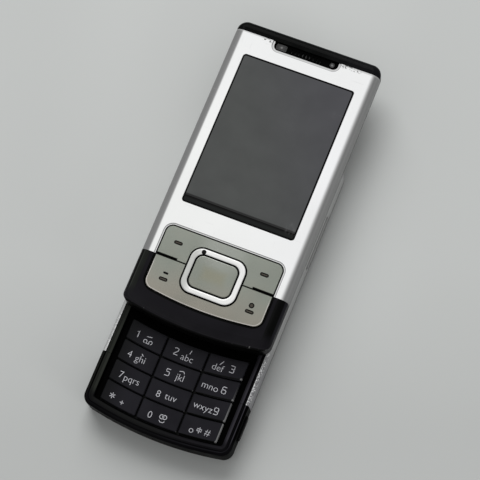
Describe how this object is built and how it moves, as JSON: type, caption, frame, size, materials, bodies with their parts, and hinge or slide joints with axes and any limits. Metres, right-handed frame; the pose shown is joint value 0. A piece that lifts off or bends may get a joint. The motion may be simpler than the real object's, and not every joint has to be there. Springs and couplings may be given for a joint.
{
  "type": "slider phone",
  "caption": "Slider phone shown open: display and function keys on the upper half, bowed number keypad on the lower half, camera and battery cover on the back.",
  "frame": {"origin": "bottom centre of the open phone's bounding box, lying on its back", "axes": "+X to the right of the display, +Y towards the earpiece, +Z out of the display"},
  "size_m": [0.0471, 0.128, 0.0164],
  "materials": {
    "silver_cover": "silver paint on moulded plastic, satin, worn at the edges",
    "black_gloss": "piano black, polished",
    "dark_cover": "dark soft paint on moulded plastic",
    "rear_dark": "fine grain, soft touch",
    "window": "hard coated clear acrylic",
    "display": "display glass, switched off",
    "key_plate": "silver-grey metallic paint under clear lacquer",
    "chrome": "bright chrome plate",
    "number_key": "dark satin keycaps with pale printed digits",
    "mesh": "black",
    "steel": "plain sheet steel",
    "chassis": "glass-filled nylon",
    "board": "green solder mask",
    "rubber_mat": "silicone",
    "dome_sheet": "clear film over metal domes",
    "ribbon": "polyimide film",
    "battery": "grey moulded case, bare of print",
    "lens": "coated lens glass",
    "led": "clear lens over yellow phosphor",
    "device": "black moulding with metal can"
  },
  "bodies": {
    "base": {"slide_rails": "steel", "slide_springs": "steel", "flex_ribbon": "ribbon", "side_frame": "silver_cover", "base_lower_cover": "dark_cover", "keypad_housing": "dark_cover", "keypad_mat": "rubber_mat", "keypad_dome_sheet": "dome_sheet", "main_board": "board", "shield_cans": "steel", "rear_chassis": "rear_dark", "battery": "battery", "sim_holder": "steel", "rear_camera": "device", "camera_window": "lens", "flash_leds": "led", "loudspeaker": "device", "vibration_motor": "steel", "microphone": "steel", "charger_jack": "device", "headset_jack": "device", "usb_socket": "steel", "base_screws": "steel"},
    "slider": {"front_cover": "silver_cover", "top_cap": "black_gloss", "lower_cover": "dark_cover", "slider_back_cover": "dark_cover", "slider_chassis": "chassis", "display_window": "window", "display_module": "display", "earpiece": "device", "earpiece_grille": "mesh", "front_camera": "lens", "light_sensor": "lens", "function_keymat": "rubber_mat", "function_dome_sheet": "dome_sheet", "function_board": "board", "moving_slide_plate": "steel", "slider_screws": "steel"},
    "soft_key_plate": {"soft_key_plate": "key_plate"},
    "call_end_plate": {"call_end_plate": "key_plate"},
    "nav_ring": {"nav_ring": "chrome"},
    "nav_carrier": {"nav_carrier": "steel"},
    "select_key": {"select_key": "key_plate"},
    "battery_cover": {"battery_cover": "rear_dark"},
    "volume_rocker": {"volume_rocker": "silver_cover"},
    "camera_key": {"camera_key": "silver_cover"},
    "power_key": {"power_key": "silver_cover"},
    "key_1": {"key_1": "number_key"},
    "key_2": {"key_2": "number_key"},
    "key_3": {"key_3": "number_key"},
    "key_4": {"key_4": "number_key"},
    "key_5": {"key_5": "number_key"},
    "key_6": {"key_6": "number_key"},
    "key_7": {"key_7": "number_key"},
    "key_8": {"key_8": "number_key"},
    "key_9": {"key_9": "number_key"},
    "key_star": {"key_star": "number_key"},
    "key_0": {"key_0": "number_key"},
    "key_hash": {"key_hash": "number_key"}
  },
  "joints": [
    {"name": "slide", "type": "slide", "parent": "base", "child": "slider", "axis": [0, -1, 0], "range_m": [0, 0.0315], "deforming": ["slide_springs", "flex_ribbon"]},
    {"name": "soft_key_rock", "type": "hinge", "parent": "slider", "child": "soft_key_plate", "pos_m": [0, -0.0059, 0.015], "axis": [0, 1, 0], "range_deg": [-0.9, 0.9], "stiffness_Nm_per_rad": 1.3, "deforming": ["function_keymat"]},
    {"name": "call_end_rock", "type": "hinge", "parent": "slider", "child": "call_end_plate", "pos_m": [0, -0.02395, 0.015], "axis": [0, 1, 0], "range_deg": [-0.9, 0.9], "stiffness_Nm_per_rad": 1.3, "deforming": ["function_keymat"]},
    {"name": "nav_up_down", "type": "hinge", "parent": "slider", "child": "nav_carrier", "pos_m": [0, -0.0148, 0.0145], "axis": [1, 0, 0], "range_deg": [-1.5, 1.5], "stiffness_Nm_per_rad": 0.6, "deforming": ["function_keymat"]},
    {"name": "nav_left_right", "type": "hinge", "parent": "nav_carrier", "child": "nav_ring", "pos_m": [0, -0.0148, 0.0151], "axis": [0, 1, 0], "range_deg": [-1.5, 1.5], "stiffness_Nm_per_rad": 0.6, "deforming": ["function_keymat"]},
    {"name": "select_press", "type": "slide", "parent": "slider", "child": "select_key", "axis": [0, 0, -1], "range_m": [0, 0.0003], "stiffness_N_per_m": 400, "deforming": ["function_keymat"]},
    {"name": "volume_rock", "type": "hinge", "parent": "base", "child": "volume_rocker", "pos_m": [0.0214, 0.008, 0.0062], "axis": [0, 0, 1], "range_deg": [-1, 1], "stiffness_Nm_per_rad": 0.8},
    {"name": "camera_key_press", "type": "slide", "parent": "base", "child": "camera_key", "axis": [-1, 0, 0], "range_m": [0, 0.0005], "stiffness_N_per_m": 300},
    {"name": "power_key_press", "type": "slide", "parent": "base", "child": "power_key", "axis": [0, -1, 0], "range_m": [0, 0.0003], "stiffness_N_per_m": 400},
    {"name": "battery_cover_slide", "type": "slide", "parent": "base", "child": "battery_cover", "axis": [0, -1, 0], "range_m": [0, 0.075]},
    {"name": "key_1_press", "type": "slide", "parent": "base", "child": "key_1", "axis": [0, 0, -1], "range_m": [0, 0.0003], "stiffness_N_per_m": 400, "deforming": ["keypad_mat"]},
    {"name": "key_2_press", "type": "slide", "parent": "base", "child": "key_2", "axis": [0, 0, -1], "range_m": [0, 0.0003], "stiffness_N_per_m": 400, "deforming": ["keypad_mat"]},
    {"name": "key_3_press", "type": "slide", "parent": "base", "child": "key_3", "axis": [0, 0, -1], "range_m": [0, 0.0003], "stiffness_N_per_m": 400, "deforming": ["keypad_mat"]},
    {"name": "key_4_press", "type": "slide", "parent": "base", "child": "key_4", "axis": [0, 0, -1], "range_m": [0, 0.0003], "stiffness_N_per_m": 400, "deforming": ["keypad_mat"]},
    {"name": "key_5_press", "type": "slide", "parent": "base", "child": "key_5", "axis": [0, 0, -1], "range_m": [0, 0.0003], "stiffness_N_per_m": 400, "deforming": ["keypad_mat"]},
    {"name": "key_6_press", "type": "slide", "parent": "base", "child": "key_6", "axis": [0, 0, -1], "range_m": [0, 0.0003], "stiffness_N_per_m": 400, "deforming": ["keypad_mat"]},
    {"name": "key_7_press", "type": "slide", "parent": "base", "child": "key_7", "axis": [0, 0, -1], "range_m": [0, 0.0003], "stiffness_N_per_m": 400, "deforming": ["keypad_mat"]},
    {"name": "key_8_press", "type": "slide", "parent": "base", "child": "key_8", "axis": [0, 0, -1], "range_m": [0, 0.0003], "stiffness_N_per_m": 400, "deforming": ["keypad_mat"]},
    {"name": "key_9_press", "type": "slide", "parent": "base", "child": "key_9", "axis": [0, 0, -1], "range_m": [0, 0.0003], "stiffness_N_per_m": 400, "deforming": ["keypad_mat"]},
    {"name": "key_star_press", "type": "slide", "parent": "base", "child": "key_star", "axis": [0, 0, -1], "range_m": [0, 0.0003], "stiffness_N_per_m": 400, "deforming": ["keypad_mat"]},
    {"name": "key_0_press", "type": "slide", "parent": "base", "child": "key_0", "axis": [0, 0, -1], "range_m": [0, 0.0003], "stiffness_N_per_m": 400, "deforming": ["keypad_mat"]},
    {"name": "key_hash_press", "type": "slide", "parent": "base", "child": "key_hash", "axis": [0, 0, -1], "range_m": [0, 0.0003], "stiffness_N_per_m": 400, "deforming": ["keypad_mat"]}
  ]
}
